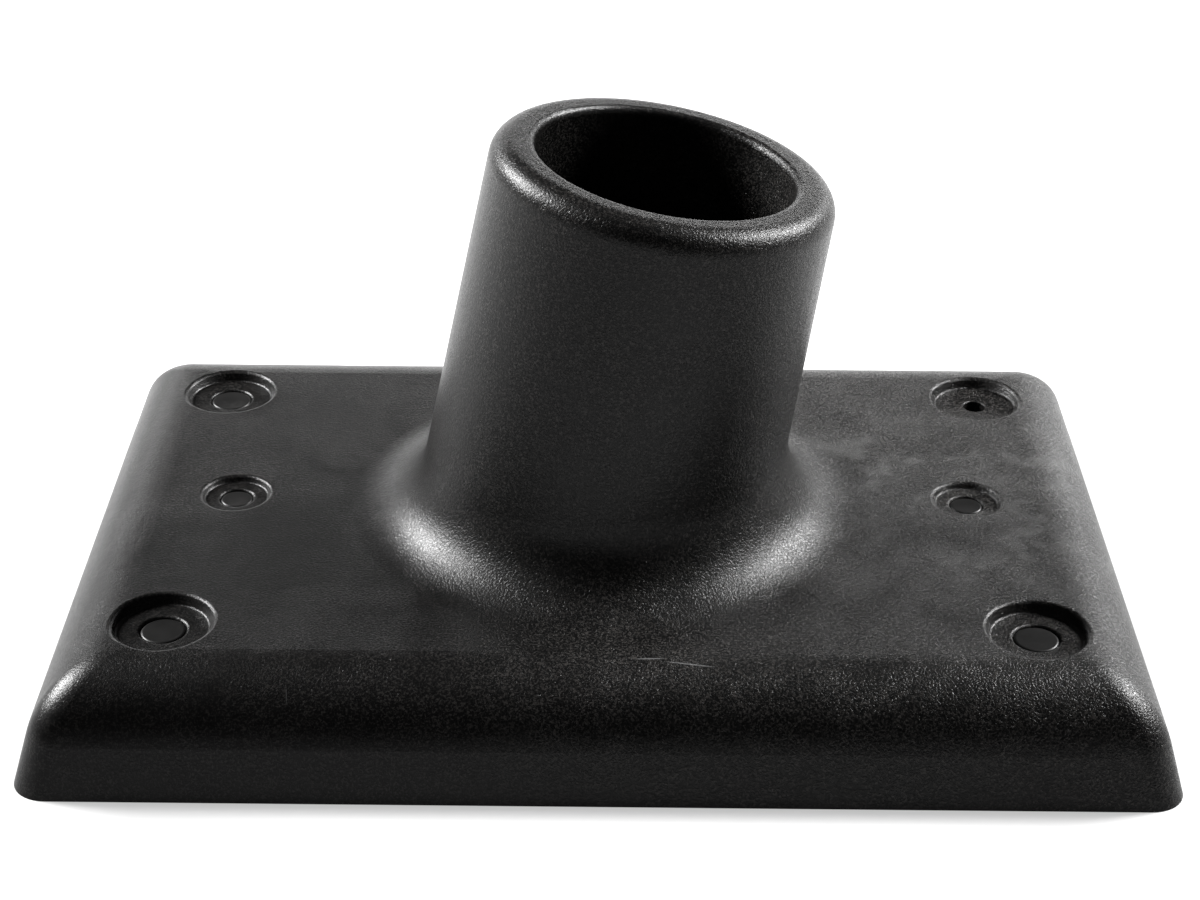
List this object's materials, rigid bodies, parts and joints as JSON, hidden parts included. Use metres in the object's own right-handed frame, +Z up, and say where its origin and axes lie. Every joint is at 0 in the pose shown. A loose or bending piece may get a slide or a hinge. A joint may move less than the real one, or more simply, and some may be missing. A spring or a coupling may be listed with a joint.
{
  "type": "flag pole stand",
  "caption": "Rectangular screw-down base with sloping sides and a leaning tubular socket for a flag pole, with push-in plugs over its screw holes.",
  "frame": {"origin": "centre of the base's footprint, on the surface that the base stands on", "axes": "+Z up, out of the mounting surface; +X along the base's long side, the way the socket leans; +Y towards the rear, so the front is -Y"},
  "size_m": [0.1384, 0.0954, 0.065],
  "materials": {
    "moulding": "fine-grained black moulded plastic with a soft sheen",
    "plugs": "smooth satin black moulded plastic"
  },
  "bodies": {
    "base": {"base_moulding": "moulding"},
    "plug_front_left": {"plug_front_left": "plugs"},
    "plug_front_right": {"plug_front_right": "plugs"},
    "plug_rear_left": {"plug_rear_left": "plugs"},
    "plug_middle_left": {"plug_middle_left": "plugs"},
    "plug_middle_right": {"plug_middle_right": "plugs"}
  },
  "joints": [
    {"name": "lift_plug_front_left", "type": "slide", "parent": "base", "child": "plug_front_left", "axis": [0, 0, 1], "range_m": [0, 0.012]},
    {"name": "lift_plug_front_right", "type": "slide", "parent": "base", "child": "plug_front_right", "axis": [0, 0, 1], "range_m": [0, 0.012]},
    {"name": "lift_plug_rear_left", "type": "slide", "parent": "base", "child": "plug_rear_left", "axis": [0, 0, 1], "range_m": [0, 0.012]},
    {"name": "lift_plug_middle_left", "type": "slide", "parent": "base", "child": "plug_middle_left", "axis": [0, 0, 1], "range_m": [0, 0.012]},
    {"name": "lift_plug_middle_right", "type": "slide", "parent": "base", "child": "plug_middle_right", "axis": [0, 0, 1], "range_m": [0, 0.012]}
  ]
}
